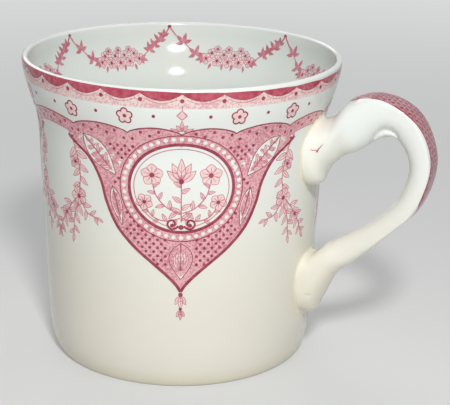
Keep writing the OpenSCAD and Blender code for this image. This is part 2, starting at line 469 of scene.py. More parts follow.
def glazed_earthenware(name, lower, start, end):
    """Clear lead glaze fired over a cream body: glossy ivory that turns to a lower colour between two
    heights (inside the cup, a painted shade), warmer where the glaze ran thick, at the foot and round the
    roots, with a few specks."""
    material, tree, place = new_material(name)
    colour = by_height(tree, place, start, end, linear(IVORY), lower)
    colour = clouded(tree, place, colour, THICK_GLAZE, 26, 0.35, 0.7, 0.4)
    colour = by_height(tree, place, *FOOT_FALL, colour, FOOT_TINT, 0.5)
    for middle, reach in ROOT_REACH:
        away = add(tree, "VectorMath", {0: place, 1: [c * MM for c in middle]}, operation="DISTANCE")
        colour = turning(tree, away, reach * MM, (reach - ROOT_FADE) * MM, colour, ROOT_TINT, 0.3)
    cells = add(tree, "TexVoronoi", {"Vector": place, "Scale": per_mm(SPECK_CELL)})
    chance = add(tree, "SeparateColor", {"Color": cells.outputs["Color"]}).outputs["Red"]
    one_in_five = {"Value": chance, "From Min": 0.8, "From Max": 0.82, "To Max": 0.55}
    few = add(tree, "MapRange", one_in_five, **EASED)
    outer, inner = (r / SPECK_CELL for r in SPECK_EDGE)
    colour = turning(tree, cells, outer, inner, colour, SPECK_BROWN, few)
    use = add(tree, "TexNoise", {"Vector": place, "Scale": per_mm(14), "Detail": 4})
    worn = {"From Min": 0.3, "From Max": 0.8, "To Min": GLAZE_ROUGH - 0.03, "To Max": GLAZE_ROUGH + 0.06}
    rough = add(tree, "MapRange", {"Value": use, **worn}, **EASED)
    cover_with_glaze(tree, place, colour, rough)
    return material


def bare_biscuit():
    """Foot ring wiped clean of glaze before the firing: matt, fine-grained cream, grey where it rubs."""
    material, tree, place = new_material("wiped_biscuit_foot")
    grain = add(tree, "TexNoise", {"Vector": place, "Scale": per_mm(0.5), "Detail": 3})
    grains = {SHARE: grain, FIRST: linear("#D8CBAE"), SECOND: linear("#C4B391")}
    colour = clouded(tree, place, add(tree, "Mix", grains, **COLOURS), "#A79C87", 6, 0.5, 0.7, 0.5, 2)
    bump = add(tree, "Bump", {"Height": grain, "Distance": 0.03 * MM})
    look = {"Base Color": colour, "Roughness": 0.85, "Normal": bump, "IOR": GLAZE_IOR}
    add(tree, "OutputMaterial", {"Surface": add(tree, "BsdfPrincipled", look)})
    return material


def pooled_glaze():
    """Slip and glaze gathered in the corner round a root: thick, honey-coloured and very glossy."""
    material, tree, place = new_material("glaze_pooled_on_slip")
    cover_with_glaze(tree, place, clouded(tree, place, linear("#E8E4D4"), "#E0DAC5", 4, 0.35, 0.7))
    return material


def printed_ink(name, dense, thin):
    """Red transfer ink under the glaze: patchy where the tissue let go, glossy from the glaze over it."""
    material, tree, place = new_material(name)
    colour = clouded(tree, place, linear(dense), thin, 1.1, 0.38, 0.68)
    cover_with_glaze(tree, place, clouded(tree, place, colour, thin, 9, 0.4, 0.7, 0.5))
    return material


def stippled_ink(name, ground, stipple, fade=None):
    """Engraver's stipple: fine red points on a pale ground, larger in patches. It dies away over fade."""
    material, tree, place = new_material(name)
    points = add(tree, "TexVoronoi", {"Vector": place, "Scale": per_mm(STIPPLE_PITCH)})
    patch = add(tree, "TexNoise", {"Vector": place, "Scale": per_mm(5)})
    sizes = {"Value": patch, "From Min": 0.3, "From Max": 0.7, "To Min": 0.4, "To Max": 0.62}
    reach = add(tree, "Math", {0: points, 1: add(tree, "MapRange", sizes, **EASED)}, operation="DIVIDE")
    colour = turning(tree, reach, 1.15, 0.75, linear(ground), stipple)
    if fade:
        colour = by_height(tree, place, *fade, colour, IVORY)
    cover_with_glaze(tree, place, colour)
    return material


# Pieces
SHARP = 40
HANDLE_SUNK = 0.3
FILLET = 0.5
FILLET_TOP = 0.8
FILLET_STEPS = 8
FILLET_PROUD = 0.01
FILLET_SUNK = -0.2


def new_object(name, data):
    """Puts a mesh, lamp or camera into the scene."""
    made = bpy.data.objects.new(name, data)
    bpy.context.scene.collection.objects.link(made)
    return made


def piece(name, bm, materials):
    """A piece of the cup from a mesh in metres, smooth but for sharp edges."""
    bmesh.ops.recalc_face_normals(bm, faces=bm.faces)
    mesh = bpy.data.meshes.new(name)
    bm.to_mesh(mesh)
    bm.free()
    for material in materials:
        mesh.materials.append(material)
    mesh.shade_smooth()
    mesh.set_sharp_from_angle(angle=radians(SHARP))
    made = new_object(name, mesh)
    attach(made, "root")
    return made


def skin(bm, rings, whole=False):
    """Faces from each closed ring to the next, and in a whole loop back to the first."""
    for a, b in zip(rings, rings[1:] + rings[:1] * whole):
        for i in range(len(a)):
            bm.faces.new((a[i - 1], a[i], b[i], b[i - 1]))


def cup_body(glaze, bare, inside):
    """The turned body, in one profile from underside to floor."""
    ring_r = FOOT_R - FOOT_W
    under = [(0, RECESS_H), (ring_r - RECESS_BEVEL, RECESS_H), (ring_r, 0), OUTSIDE[0]]
    recess = softened(under, EDGE_SOFT)
    floor_edge = INSIDE[0]
    flat = shares(FLAT_RINGS)[:-1]
    outer = [Vector((recess[1].x * s, RECESS_H)) for s in flat] + recess[1:-1] + OUTSIDE
    inner = INSIDE[-2::-1] + [Vector((floor_edge.x * s, floor_edge.y)) for s in reversed(flat)]
    profile = outer + inner
    bm = bmesh.new()
    turns = [radians(360 * k / TURNED_STEPS) for k in range(TURNED_STEPS)]
    rows = []
    for p in profile:
        around = turns if p.x > 0 else turns[:1]
        rows.append([bm.verts.new(Vector((p.x * cos(a), p.x * sin(a), p.y)) * MM) for a in around])
    stands = EDGE_SOFT / 8
    for i, (low, high) in enumerate(zip(rows, rows[1:])):
        bare_here = max(profile[i].y, profile[i + 1].y) < stands
        inside_here = i >= len(outer) - 1
        for k in range(TURNED_STEPS):
            n = (k + 1) % TURNED_STEPS
            corners = [low[k % len(low)], low[n % len(low)], high[n % len(high)], high[k % len(high)]]
            face = bm.faces.new(list(dict.fromkeys(corners)))
            face.material_index = 1 if bare_here else 2 if inside_here else 0
    made = piece("cup_body_glazed", bm, [glaze, bare, inside])
    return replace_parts(made, "cup_body")


def handle(glaze):
    """The cast handle, with its ends just inside the wall."""
    bm = bmesh.new()
    loop = [PAD_NECK + i / STATION_STEPS for i in range((HEEL_NECK - PAD_NECK) * STATION_STEPS)]
    columns = []
    for turn in section_turns():
        start = junction(turn, 0, PAD_NECK, HANDLE_SUNK)
        end = junction(turn, LAST, HEEL_NECK, HANDLE_SUNK)
        upper = [start + (PAD_NECK - start) * s for s in shares(ROOT_STEPS)[:-1]]
        lower = [HEEL_NECK + (end - HEEL_NECK) * s for s in shares(ROOT_STEPS)]
        columns.append([bm.verts.new(on_handle(s, turn, 0)) for s in upper + loop + lower])
    rings = list(zip(*columns))
    skin(bm, rings)
    for end in (rings[0], rings[-1]):
        bm.faces.new(end)
    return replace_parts(piece("handle_glazed", bm, [glaze]), "handle")


def slip_fillet(root, material):
    """Slip and glaze in the corner all round a root, hollow in section."""
    inside, free, root_z = ROOTS[root]
    probe = copysign(0.05, free - inside)
    bm = bmesh.new()
    rings = []
    for turn in section_turns():
        station = junction(turn, inside, free)
        corner = on_handle(station, turn, 0) / MM
        size = FILLET + FILLET_TOP * max(0, sin(radians(turn))) ** 4
        reach = (on_handle(station + probe, turn, 0) / MM - corner).length
        up_handle = station + probe * size / reach
        r = outside_r(corner.z)
        angle = atan2(corner.y, corner.x)
        away = Vector((angle * r, corner.z - root_z)).normalized() * size
        wall_place = (degrees(angle + away.x / r), corner.z + away.y)
        foot = on_outside(*wall_place, FILLET_PROUD)
        head = on_handle(up_handle, turn, FILLET_PROUD)
        hollow = bent(foot, corner * MM, head, FILLET_STEPS)
        back = [on_handle(up_handle, turn, FILLET_SUNK)]
        back += [on_outside(*place, FILLET_SUNK) for place in ((degrees(angle), corner.z), wall_place)]
        rings.append([bm.verts.new(p) for p in hollow + back])
    skin(bm, rings, whole=True)
    made = piece(f"{root}_slip_fillet", bm, [material])
    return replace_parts(made, f"{root}_slip_joint")


# Motifs of the print. Each is a list of (ink, grid), and a grid is rows of places in millimetres.
LEAST_W = 0.06
FINE_LINE = 0.14
RIB_W = 0.2
STEM_W = 0.22
ROSETTE_LINE = 0.26
PETALS = 5
CURVE_STEPS = 8


def ribbon(points, width):
    """Grid along a line. width is a number, or a function of the share that is behind."""
    points = [Vector(p) for p in points]
    grid = []
    for i, p in enumerate(points):
        way = (points[min(i + 1, len(points) - 1)] - points[max(i - 1, 0)]).normalized()
        half = max(LEAST_W, width(i / (len(points) - 1)) if callable(width) else width) / 2
        side = Vector((-way.y, way.x)) * half
        grid.append([p + side, p - side])
    return grid


def curve_through(points):
    """Points on a smooth curve through a few places."""
    run = [Vector(p) for p in points]
    run = [2 * run[0] - run[1], *run, 2 * run[-1] - run[-2]]
    count = (len(points) - 1) * CURVE_STEPS
    return [smooth_run(run, i / CURVE_STEPS) for i in range(count + 1)]


def heading(way):
    """Degrees by which a way turns from +X."""
    return degrees(atan2(way.y, way.x))


def dot(x, y, r, ink="line"):
    """A round dot."""
    line = [(x - r * cos(pi * s), y) for s in shares(8)]
    return [(ink, ribbon(line, lambda s: 2 * r * sin(pi * s)))]


def edges_of(blade, ink, width):
    """Thin lines along both edges of a blade."""
    return [(ink, ribbon([row[edge] for row in blade], width)) for edge in (0, 1)]


def leaf(x, y, turn, length, width, ink="pale", bend=0.12, rib="mid", belly=0.8):
    """A leaf or petal, bare inside without an ink. bend curls it. A belly above 1 is near its tip."""
    way = turned(0, 0, 1, turn)
    side = Vector((-way.y, way.x))
    middle = [Vector((x, y)) + (way * s + side * bend * s * s) * length for s in shares(8)]
    blade = ribbon(middle, lambda s: width * sin(pi * s ** belly))
    made = [(ink, blade)] if ink else []
    if rib:
        made.append((rib, ribbon(middle[:7], lambda s: RIB_W * (1 - 0.6 * s))))
        made += edges_of(blade, rib, FINE_LINE)
    return made


def fan(x, y, turn, length, width, count, spread, ink="pale", rib="mid"):
    """Leaves spread out from one place, the middle one longest."""
    made = []
    for k in range(count):
        off = k / (count - 1) - 0.5
        made += leaf(x, y, turn + spread * off, length * (1 - 0.5 * abs(off)), width, ink, -0.3 * off, rib)
    return made


def sprig(*place_and_size):
    """A fan of small leaves in one tone."""
    return fan(*place_and_size, "mid", None)


def outline(shape, width, steps=60, ink="line"):
    """A closed line round a shape, which is a function of degrees."""
    return [(ink, ribbon([shape(360 * s) for s in shares(steps)], width))]


def rosette(x, y, r):
    """A five-lobed flower: pale inside a thin line, with a dark eye."""
    def lobes(a):
        reach = r * (0.66 + 0.34 * abs(cos(radians(PETALS / 2 * (a - 90)))) ** 0.7)
        return turned(x, y, reach, a)

    middle = Vector((x, y))
    fill = [[middle.lerp(lobes(360 * s), share) for share in (0.05, 0.5, 1)] for s in shares(60)]
    return [("pale", fill)] + outline(lobes, ROSETTE_LINE) + dot(x, y, 0.24 * r)


def blossom(x, y, r, turn=90, ink="pale"):
    """A small open flower, bare inside without an ink."""
    made = []
    for k in range(PETALS):
        made += leaf(x, y, turn + 360 * k / PETALS, r, 0.85 * r, ink, 0, belly=1.4)
    return made + dot(x, y, 0.22 * r)


def scroll(x, y, r, start, turns, width):
    """A line that winds in to a bead."""
    line = [turned(x, y, r * (1 - 0.72 * s), start + 360 * turns * s) for s in shares(int(24 * turns))]
    return [("line", ribbon(line, width))] + dot(*line[-1], 0.2 * r + width / 3)


def spray(points, count, length, width, swing, tip=True):
    """A stem through a few places, with leaves on both sides."""
    line = curve_through(points)
    made = [("mid", ribbon(line, STEM_W))]
    for k in range(count):
        i = int((k + 0.5) / count * (len(line) - 1))
        turn = heading(line[i + 1] - line[i])
        side = 1 if k % 2 else -1
        size = 1 - 0.35 * k / count
        made += leaf(*line[i], turn + side * swing, length * size, width * size, bend=0.15 * side)
    if tip:
        made += leaf(*line[-1], heading(line[-1] - line[-2]), 0.7 * length, 0.7 * width)
    return made


def mirrored(motif):
    """A motif flipped left to right."""
    return [(ink, [[Vector((-p[0], p[1])) for p in row] for row in grid]) for ink, grid in motif]


def both_sides(motif):
    """A motif and its mirror image."""
    return motif + mirrored(motif)


# The print. Each ink of a group becomes one piece on the group's surface: the outside, or one of these.
SURFACES = {"swag": on_inside, "handle": on_handle}
# How far the underside and the top of each film lie off the surface
FILM_SUNK = -0.03
FILM_LIFT = {"ground": 0.012, "wash": 0.012, "strip": 0.016, "reserve": 0.018,
             "pale": 0.022, "mid": 0.026, "red": 0.03, "line": 0.034}
printed = {}


def print_on(group, motif, to_surface=lambda *place: place):
    """Adds a motif to a group. to_surface turns its x and y into places on the surface."""
    for ink, grid in motif:
        patch = [[to_surface(*p) for p in row] for row in grid]
        printed.setdefault((group, ink), []).append(patch)


def round_wall(angle, r):
    """Turns millimetres along the wall into degrees round it, from an angle."""
    return lambda x, y: (angle + degrees(x / r), y)


def film(name, surface, patches, lift, material):
    """Thin printed film: a closed slab over each patch."""
    bm = bmesh.new()
    for grid in patches:
        over, under = ([[bm.verts.new(surface(*place, level)) for place in row] for row in grid]
                       for level in (lift, FILM_SUNK))
        sheets = [over, under, (over[0], under[0]), (over[-1], under[-1])]
        sheets += [[[row[j] for row in sheet] for sheet in (over, under)] for j in (0, -1)]
        for rows in sheets:
            for a, b in zip(rows, rows[1:]):
                for j in range(len(a) - 1):
                    bm.faces.new((a[j], b[j], b[j + 1], a[j + 1]))
    return piece(name, bm, [material])


# Angles of the three shields, at even steps from the front one
FRONT = -66.45
REPEAT = 113.55
SHIELDS = [FRONT, FRONT - REPEAT, FRONT - 2 * REPEAT]
# Radius of the wall where each part of the print lies
WALL_MEAN_R = 28.6
FLARE_MEAN_R = 31.3
LIP_MEAN_R = 31.9
SCALLOPS = 26
RIM_STRIP_Z = BODY_H - 3.8
RIM_FADE = 0.4
RIM_DOT_R = 0.4
# Depths under the lip away from the handle, and on its side, where the tissue lay lower
RIM_TOP = (0.2, 0.86)
RIM_TOP_BY_POINT = (0.2, 1)
RIM_POINT = (0.54, 1.12)
RIM_HEM = (1.96, 2.26)
RIM_DOT = (1.85, 2.46)
# Both edges of the lines along the scallops, up from the scallops' edge
HEM_LINE = (0.06, -0.08)
ECHO_LINE = (-0.5, -0.6)


def band(edge, offsets):
    """Grid of a band whose long lines lie this far up from an edge."""
    return [[(angle, z + off) for off in offsets] for angle, z in edge]


def laid(depths, angle):
    """Height of a line of the rim's border at an angle."""
    far, near = depths
    share = ((1 + cos(radians(angle))) / 2) ** 3
    return BODY_H - far - (near - far) * share


def rim_border():
    """Red scallops under the lip, a dot in each point, on a pale stippled strip."""
    pitch = 360 / SCALLOPS
    for k in range(SCALLOPS):
        start = FRONT + k * pitch
        red, wash, hem = [], [], []
        for s in shares(18):
            angle = start + pitch * s
            sag = sin(pi * s) ** 0.85
            point = laid(RIM_POINT, angle)
            by_point = laid(RIM_TOP_BY_POINT, angle)
            top = by_point + (laid(RIM_TOP, angle) - by_point) * sag
            edge = point + (laid(RIM_HEM, angle) - point) * sag
            red.append([(angle, top + (edge - top) * down) for down in shares(10)])
            wash.append([(angle, point + (RIM_STRIP_Z - point) * down) for down in shares(10)])
            hem.append((angle, edge))
        print_on("rim", [("red", red), ("wash", wash), ("line", band(hem, HEM_LINE))])
        print_on("rim", [("mid", band(hem[2:-2], ECHO_LINE))])
        print_on("rim", dot(0, laid(RIM_DOT, start), RIM_DOT_R), round_wall(start, LIP_MEAN_R))


# Arches of the border in degrees: two each side of a shield's middle, and those between shields
ARCH_NEAR, ARCH_NEXT = 19.5, 23
BETWEEN_ARCH = REPEAT - 2 * (ARCH_NEAR + ARCH_NEXT)
HANDLE_ARCH = 180 - REPEAT - ARCH_NEAR - ARCH_NEXT
FAR_ARCHES = [ARCH_NEAR, ARCH_NEXT, BETWEEN_ARCH, ARCH_NEXT, ARCH_NEAR]
HANDLE_ARCHES = [ARCH_NEAR, ARCH_NEXT, HANDLE_ARCH, HANDLE_ARCH, ARCH_NEXT, ARCH_NEAR]
ARCH_LOW = 52.6
ARCH_RISE = 1.3
BAND_W = 2.6
BAND_LINE = (0.1, -0.16)
BAND_HEM = (0.1 - BAND_W, -0.08 - BAND_W)
# Dots in the band: degrees apart, depths of their rows, radius, and distance from the window
BAND_DOT_PITCH = 3.1
BAND_DOT_ROWS = (1.7, 0.8)
BAND_DOT_R = 0.32
BAND_DOT_CLEAR = 2.19
# Flowers and dots over the band: degrees from a shield's middle, height and radius
ROSETTES = ((ARCH_NEAR + 0.2, 56), (ARCH_NEAR + ARCH_NEXT - 1, 55.7))
ROSETTE_R = 1.55
LONE_DOTS = (9.6, 30.5, 50)
LONE_DOT_Z = 56.3
LONE_DOT_R = 0.33


def arch_top(share):
    """Height of the border's upper edge at a share of an arch."""
    return ARCH_LOW + ARCH_RISE * sin(pi * share) ** 0.7


def arch(start, width):
    """One stippled arch of the border with two rows of dots."""
    top = [(start + width * s, arch_top(s)) for s in shares(20)]
    ground = band(top, [-BAND_W * s for s in shares(6)])
    print_on("border", [("ground", ground), ("line", band(top, BAND_LINE))])
    if width not in (ARCH_NEAR, ARCH_NEXT):
        print_on("border", [("mid", band(top, BAND_HEM))])
    count = max(4, round(width / BAND_DOT_PITCH))
    for k in range(count):
        s = (k + 0.5) / count
        angle, z = start + width * s, arch_top(s) - BAND_DOT_ROWS[k % 2]
        aside = min(abs(angle - middle) for middle in (*SHIELDS, FRONT + 360))
        if not in_window(radians(aside) * WALL_MEAN_R, z, BAND_DOT_CLEAR):
            print_on("border", dot(0, z, BAND_DOT_R), round_wall(angle, FLARE_MEAN_R))


def arcade():
    """Border of arches, with flowers, dots and a bud on the white above it."""
    start = FRONT
    for width in HANDLE_ARCHES + FAR_ARCHES + FAR_ARCHES:
        arch(start, width)
        start += width
    lozenge = ribbon([(1.9 * s - 0.95, 56.6) for s in shares(8)], lambda s: 1.8 * (1 - abs(2 * s - 1)))
    bud = [("pale", lozenge)] + edges_of(lozenge, "mid", RIB_W)
    bud.append(("mid", ribbon([(0, 58.6), (0, 57.5)], 0.16)))
    bud += fan(0, 53.4, 90, 2.1, 0.75, 3, 100) + both_sides(leaf(0.4, 53.3, 12, 1.9, 0.6))
    beside = [(turn, rosette(0, z, ROSETTE_R)) for turn, z in ROSETTES]
    beside += [(turn, dot(0, LONE_DOT_Z, LONE_DOT_R)) for turn in LONE_DOTS]
    for angle in SHIELDS:
        for side in (-1, 1):
            for turn, motif in beside:
                print_on("border", motif, round_wall(angle + side * turn, FLARE_MEAN_R))
        print_on("border", bud, round_wall(angle, FLARE_MEAN_R))


# The shield under the border: a stippled ground round an oval window, drawn in to a point
WINDOW_Z = 41.9
WINDOW_W = 9.9
WINDOW_H = 8.7
# Right edge: x, y and the angle round the window that each point is joined to
SHIELD_EDGE = [
    (0, 52.9, 90), (5.2, 53.4, 74), (9.7, 52.4, 60), (15.2, 53.2, 47), (20.6, 52, 34), (23.4, 50, 22),
    (18.6, 46.4, 8), (16, 42.4, -8), (14.7, 38, -26), (12.6, 33.6, -46), (9.2, 29.8, -62), (5.6, 26.8, -72),
    (2.6, 24.2, -80), (0.9, 22.4, -86), (0, 21, -90),
]
WING_TIP = 5
SHIELD_LINE = 0.6
# White panels on the ground: start, turn, length and width
WING_PANEL = ((19.4, 50.8), 226, 9.8, 4.2)
SIDE_PANEL = ((13.4, 41.4), 256, 7.8, 2.2)
HUSK_PANEL = ((0, 31), 270, 7.4, 4.6)
PANEL_MARGIN = 0.5
WHITE = {"ink": "reserve", "bend": 0, "rib": "line"}
# Height and relative size of the bell flowers
BELLS = ((20.4, 1), (17.4, 0.75))
# Round the window: beads, dots, and lines as distance from its edge, width and ink
BEADS = 48
BEAD_R = 0.4
BEAD_OUT = 1.1
DOTS_OUT = 1.9
WINDOW_LINES = ((0, SHIELD_LINE, "line"), (1.85, 0.2, "line"), (-0.9, 0.18, "mid"))
# Dots on the ground: pitch along a row, rows apart as a share of it, radius, margin, lowest row and counts
DOT_PITCH = 1.5
DOT_ROW_SHARE = 0.55
DOT_R = 0.3
DOT_MARGIN = 0.6
DOT_LOWEST = 20
DOT_ROWS, DOT_COLUMNS = 44, 18


def window_edge(a, grow=0):
    """Place on the window's edge at an angle round its middle."""
    a = radians(a)
    return Vector(((WINDOW_W + grow) * cos(a), WINDOW_Z + (WINDOW_H + grow) * sin(a)))


def in_window(x, y, grow):
    """Whether a place lies in the window or close round it."""
    return hypot(x / (WINDOW_W + grow), (y - WINDOW_Z) / (WINDOW_H + grow)) < 1


def near_panel(spot, panel):
    """Whether a place is on a white panel or close beside it."""
    at, turn, length, width = panel
    way = turned(0, 0, 1, turn)
    from_start = spot - Vector(at)
    beside = abs(from_start.cross(way)) < width / 2 + PANEL_MARGIN
    return beside and -PANEL_MARGIN < from_start.dot(way) < length + PANEL_MARGIN


def within(spot, shape):
    """Whether a place lies inside a closed line."""
    crossings = 0
    for a, b in zip(shape, shape[1:] + shape[:1]):
        if (a.y > spot.y) != (b.y > spot.y):
            crossings += spot.x < a.x + (spot.y - a.y) / (b.y - a.y) * (b.x - a.x)
    return crossings % 2 == 1


def ground_dots(shape):
    """Dots in staggered rows on the ground, clear of its edges, panels and beads."""
    made = []
    for row in range(DOT_ROWS):
        y = DOT_LOWEST + row * DOT_PITCH * DOT_ROW_SHARE
        for column in range(DOT_COLUMNS):
            spot = Vector(((column + row % 2 / 2) * DOT_PITCH, y))
            around = [spot + Vector(step) * DOT_MARGIN for step in ((1, 0), (-1, 0), (0, 1), (0, -1))]
            taken = y > ARCH_LOW - BAND_W or in_window(*spot, DOTS_OUT)
            taken = taken or any(near_panel(spot, panel) for panel in (WING_PANEL, SIDE_PANEL, HUSK_PANEL))
            if not taken and all(within(p, shape) for p in around):
                made += dot(*spot, DOT_R)
    return made


def shield():
    """The shield with its window, beads, white panels and hanging bell flowers."""
    edge = curve_through(SHIELD_EDGE)
    ground = [[window_edge(p.z).lerp(p.xy, s) for s in shares(8)] for p in edge]
    hem = [p.xy for p in edge[WING_TIP * CURVE_STEPS:]]
    half = [("ground", ground), ("line", ribbon(hem, SHIELD_LINE))]
    half += ground_dots([row[-1] for row in ground] + [row[0] for row in reversed(ground)])
    for at, turn, length, width in (WING_PANEL, SIDE_PANEL):
        half += leaf(*at, turn, length, width, **WHITE)
        stem = [turned(*at, length * s, turn) for s in (0.9, 0.5, 0.2)]
        half += spray(stem, 6, 0.5 * width, 0.2 * width, 40)
    whole = both_sides(half)
    for i in range(BEADS):
        whole += dot(*window_edge(360 / BEADS * i, BEAD_OUT), BEAD_R, "reserve")
    for out, width, ink in WINDOW_LINES:
        whole += outline(lambda a: window_edge(a, out), width, 120, ink)
    at, turn, length, width = HUSK_PANEL
    whole += leaf(*at, turn, length, width, **WHITE) + fan(0, 25.4, 90, 4.4, 1.2, 5, 64)
    for z, size in BELLS:
        whole += dot(0, z, 0.45 * size) + fan(0, z - 0.4, 270, 2.6 * size, 0.9 * size, 3, 80)
    return whole


def window_spray():
    """Flowering spray: a fan of petals between curved stalks with open flowers."""
    made = spray([(0, 35.2), (0, 38.6), (0, 43.4)], 6, 2.5, 1, 48, tip=False)
    made += fan(0, 43.4, 90, 4.4, 1.5, 5, 124) + dot(0, 43.3, 0.5)
    stalk = spray([(0.2, 37), (2.6, 38), (4.6, 40.2), (5.4, 42.6)], 6, 2, 0.8, 50, tip=False)
    stalk += blossom(5.5, 44.4, 2.2)
    low = spray([(0.2, 36), (3, 35.4), (5.4, 36.2), (6.6, 37.8)], 5, 1.8, 0.75, 50, tip=False)
    low += blossom(7, 39, 1.7, 60)
    return made + both_sides(stalk + low + scroll(1.7, 34.9, 1.2, 200, 1.2, 0.4)) + dot(0, 34.2, 0.5)


def garland():
    """Flowering sprays that hang from a shield's wings and meet the next shield's."""
    made = spray([(22.6, 49), (21.6, 46), (21, 42.4), (21.4, 38.6)], 9, 3.1, 1.3, 46, tip=False)
    made += spray([(21.2, 37), (19.4, 34.8), (17.2, 34.2)], 4, 2.3, 0.9, 44)
    made += spray([(21.8, 36.6), (23.2, 33.2), (23.6, 29.6)], 6, 2.6, 1, 44)
    made += spray([(22.4, 37.2), (25, 34.4), (27, 31.6), (28.1, 29.4)], 8, 2.7, 1.1, 46)
    made += blossom(21.6, 37.8, 2.1, 70) + blossom(22.2, 44.6, 1.5, 100) + blossom(25.6, 33.6, 1.5, 30)
    return both_sides(made)


# Festoons inside: start and widths in degrees, half the width as drawn, and the height of their ties
SWAG_START = 67.5
SWAG_WIDTHS = [51.5, 46] + [52.5] * 5
SWAG_HALF = 12.8
SWAG_TOP = BODY_H - 0.9
SPRIG_ARM = [(SWAG_HALF - 1.3, SWAG_TOP - 1.9), (9.9, 57.3), (7.3, 54.9), (5.8, 54.1)]
LEAFY_ARM = [(SWAG_HALF - 1.7, SWAG_TOP - 2.9), (9.8, 57.1), (7.9, 55.8), (6, 54.4)]
# Leaves along the second arm: place, turn and length
LEAFY_SPRIGS = [(11.5, 58.6, 120, 1.8), (10.4, 57.6, 100, 2.1), (9.1, 56.6, 85, 2), (7.9, 55.8, 70, 2)]


def swag_bunch():
    """Flowers low on a festoon: filled ones over leaves, and outlined ones above."""
    made = []
    for x in (-5.1, -2.6, -0.1, 2.4, 4.9):
        made += blossom(x, 53.6 + 0.02 * x * x, 1.22, 60 + 13 * x)
    for x in (-3.9, -1.4, 1, 3.7):
        made += blossom(x, 55 + 0.015 * x * x, 1.05, 100 - 17 * x, None)
    for x in (-2.7, 0, 2.5):
        made += blossom(x, 56.1, 0.8, 80 + 9 * x, None)
    for x, turn in ((-3.8, 250), (-1.3, 280), (1.2, 262), (3.7, 290)):
        made += leaf(x, 53.2, turn, 1.4, 0.65, "mid", 0.1, None)
    return made + both_sides(sprig(5.6, 54.2, 340, 1.8, 0.7, 3, 100))


def swag_arm(arm):
    """Stem of a festoon from its tie down to the bunch."""
    tie = [(SWAG_HALF, SWAG_TOP), arm[0]]
    return [("mid", ribbon(tie, 0.3)), ("mid", ribbon(curve_through(arm), STEM_W))]


def inside_swags():
    """Festoons with sprigs on one arm and leaves on the other, laid by hand in uneven widths."""
    motif = dot(SWAG_HALF, SWAG_TOP, 0.4) + swag_bunch()
    motif += swag_arm(SPRIG_ARM) + mirrored(swag_arm(LEAFY_ARM))
    motif += sprig(9.9, 57.2, 75, 2.4, 0.85, 4, 190) + sprig(7.3, 54.9, 75, 2.2, 0.8, 4, 220)
    for x, y, turn, length in LEAFY_SPRIGS:
        motif += mirrored(sprig(x, y, turn, length, 0.75, 4, 200))
    start = SWAG_START
    for width in SWAG_WIDTHS:
        middle, share = start + width / 2, width / (2 * SWAG_HALF)
        print_on("swag", motif, lambda x, y: (middle + x * share, y))
        start += width


# Strip on the handle's back: its ends as stations, half its width and its drift as shares of the handle's
# half width, and the drift's degrees in a station and a station where it is furthest
STRIP_START, STRIP_END = 2.9, 7.35
STRIP_HALF = 0.84
STRIP_DRIFT = 0.1
DRIFT_TURN, DRIFT_FROM = 190, 4.7
# Share of its length that the point at each end takes, and how round it is
START_POINT = (0.21, 0.55)
END_POINT = (0.12, 0.7)
STRIP_LINE = 0.06
STRIP_STEPS, STRIP_COLUMNS = 110, 40
# Rows of dots across the strip, of two kinds by turns
STRIP_ROWS = 42
STRIP_DOTS = ((-0.41, 0.01, 0.43), (-0.62, -0.2, 0.22, 0.64))
STRIP_DOT_R = 0.34
STRIP_DOT_CLEAR = 0.16


def strip_place(station, share):
    """Place on the handle by station and share of its half width, moved by the strip's drift."""
    share -= STRIP_DRIFT * cos(radians(DRIFT_TURN * (station - DRIFT_FROM)))
    flat = min(1, max(0, smooth_run(LOFT, station)[4]))
    cosine = copysign(abs(share) ** (1 / (1 - SIDE_SQUARE * flat)), share)
    return station, degrees(acos(cosine))


def strip_half(s):
    """Half the strip's width at a share of its length."""
    starting = (s / START_POINT[0]) ** START_POINT[1]
    ending = ((1 - s) / END_POINT[0]) ** END_POINT[1]
    return STRIP_HALF * min(1, starting, ending)


def handle_strip():
    """Stippled strip with dots on the handle's flat back, pointed at both ends and laid by hand."""
    length = STRIP_END - STRIP_START
    ground, edges = [], ([], [])
    for s in shares(STRIP_STEPS):
        station = STRIP_START + length * s
        half = max(STRIP_LINE / 2, strip_half(s))
        ground.append([(station, -half + 2 * half * column) for column in shares(STRIP_COLUMNS)])
        for side, edge in zip((-1, 1), edges):
            edge.append([(station, side * half), (station, side * (half - min(STRIP_LINE, half)))])
    print_on("handle", [("strip", ground)] + [("line", edge) for edge in edges], strip_place)
    for k in range(STRIP_ROWS):
        s = (k + 0.5) / STRIP_ROWS
        station, step = STRIP_START + length * s, 0.1
        across_mm = smooth_run(LOFT, station)[3] / 2
        ahead = handle_skin(station + step, BACK_TURN) - handle_skin(station - step, BACK_TURN)
        along_mm = ahead.length / (2 * step)
        for share in STRIP_DOTS[k % 2]:
            if abs(share) < strip_half(s) - STRIP_DOT_CLEAR:
                print_on("handle", dot(0, 0, STRIP_DOT_R),
                         lambda x, y: strip_place(station + y / along_mm, share + x / across_mm))


def root_fleck():
    """A forked fleck of ink that a thumb left on the upper root."""
    station, turn = 1.45, 172
    station_mm, degree_mm = 3.4, 0.115
    fleck = [("mid", ribbon([(-1.5, 0.9), (-0.8, 0.5), (0, 0)], 0.16))]
    tail = [(-0.2, -0.3), (0, 0), (0.6, 0.25), (1.2, 0.46)]
    fleck.append(("line", ribbon(tail, lambda s: 0.5 * (1.15 - s))))
    print_on("handle", fleck, lambda x, y: (station + x / station_mm, turn - y / degree_mm))


